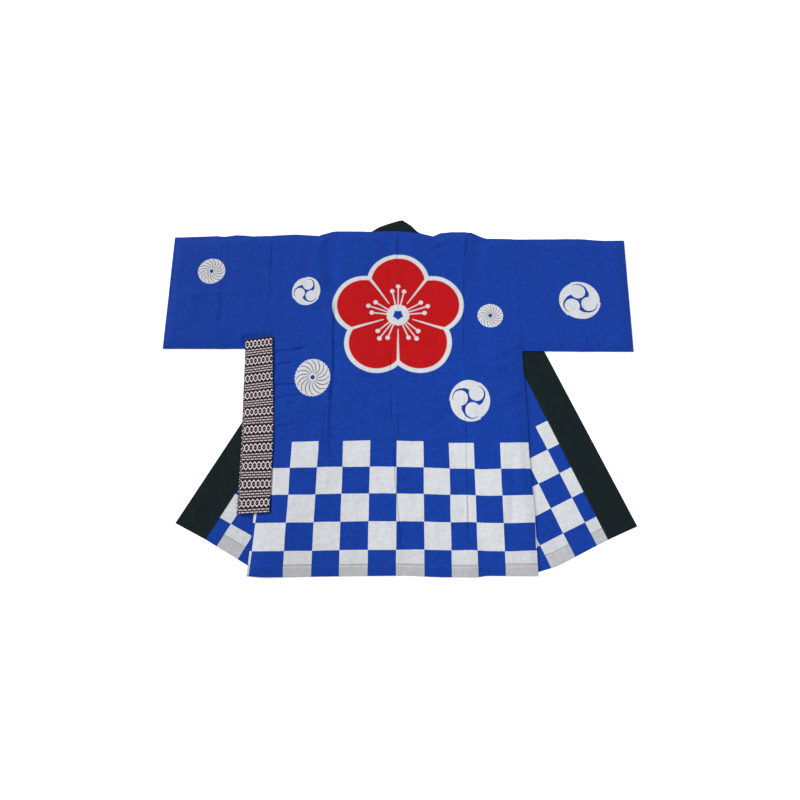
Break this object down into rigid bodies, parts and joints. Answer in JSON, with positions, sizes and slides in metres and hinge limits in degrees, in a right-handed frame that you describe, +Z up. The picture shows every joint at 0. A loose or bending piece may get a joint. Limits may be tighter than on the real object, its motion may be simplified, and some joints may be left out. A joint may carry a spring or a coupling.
{
  "type": "happi coat",
  "caption": "Short wide-sleeved cotton festival coat laid flat, back side up, fronts folded open, with a folded woven belt on its side.",
  "frame": {"origin": "middle of the footprint, on the surface that the coat lies on", "axes": "+X to the right of the laid coat from cuff to cuff, +Y from the hem to the collar, +Z up, square to the cloth"},
  "size_m": [1.2153, 0.9233, 0.0102],
  "materials": {
    "blue_cotton": "matt plain-weave cotton, printed with white checks, white roundels and a red and white motif",
    "black_cotton": "matt black cotton, doubled and pressed",
    "belt_weave": "figured band weave, dark maroon with off-white rows of linked hexagons and dashes"
  },
  "bodies": {
    "root": {"back": "blue_cotton", "front_left": "blue_cotton", "front_right": "blue_cotton", "sleeve_left": "blue_cotton", "sleeve_right": "blue_cotton", "collar": "black_cotton", "belt": "belt_weave"}
  },
  "joints": []
}
